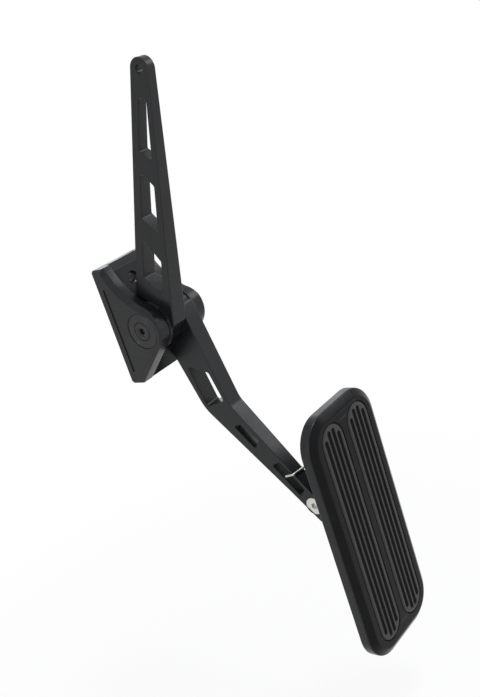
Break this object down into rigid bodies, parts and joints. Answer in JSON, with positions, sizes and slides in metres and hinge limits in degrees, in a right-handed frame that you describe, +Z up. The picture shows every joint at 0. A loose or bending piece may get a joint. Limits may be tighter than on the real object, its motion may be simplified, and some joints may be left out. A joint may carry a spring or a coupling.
{
  "type": "accelerator pedal",
  "caption": "Firewall hung throttle pedal with a billet bracket, windowed upper and lower arms on one pivot and a spring tilted ribbed pad.",
  "frame": {"origin": "centre of the bracket's mounting face, midway between its two bolt holes", "axes": "+Y into the firewall along the bolts, +Z up along the bracket, +X to the driver's right along the pivot"},
  "size_m": [0.0772, 0.1243, 0.3942],
  "materials": {
    "anodised_bracket": "satin black anodised, fine blasted grain",
    "anodised_arm": "satin black anodised, a little paler on the faces turned to the light",
    "anodised_pad": "satin black anodised",
    "black_cap": "black anodised with a polished turned rim",
    "black_screw": "black oxide steel",
    "ground_steel": "ground steel, lightly oiled",
    "bright_steel": "bright zinc plated steel",
    "spring_wire": "plain drawn spring wire",
    "washer_plastic": "dark grey nylon",
    "bush_bronze": "oil filled bronze",
    "insert_rubber": "moulded black rubber with a slight sheen"
  },
  "bodies": {
    "bracket": {"mount_bracket": "anodised_bracket", "cap_left": "black_cap", "cap_right": "black_cap", "pivot_screws": "black_screw", "pivot_shaft": "ground_steel"},
    "arms": {"upper_arm": "anodised_arm", "lower_arm": "anodised_arm", "hub_bush": "bush_bronze", "arm_dowels": "ground_steel", "washer_left": "washer_plastic", "washer_right": "washer_plastic", "pad_pivot_screw": "bright_steel", "pad_pivot_sleeve": "ground_steel", "lug_washer": "bright_steel", "pad_pivot_nut": "bright_steel", "pad_spring": "spring_wire"},
    "pad": {"pad_plate": "anodised_pad", "insert_left": "insert_rubber", "insert_right": "insert_rubber", "pad_lug": "anodised_bracket", "lug_screws": "black_screw"}
  },
  "joints": [
    {"name": "pedal_swing", "type": "hinge", "parent": "bracket", "child": "arms", "pos_m": [0, -0.0263, -0.0036], "axis": [1, 0, 0], "range_deg": [-20, 22]},
    {"name": "pad_tilt", "type": "hinge", "parent": "arms", "child": "pad", "pos_m": [0.0191, -0.0961, -0.1376], "axis": [1, 0, 0], "range_deg": [-20, 0], "stiffness_Nm_per_rad": 0.2, "springref_deg": 45.84, "deforming": ["pad_spring"]}
  ]
}
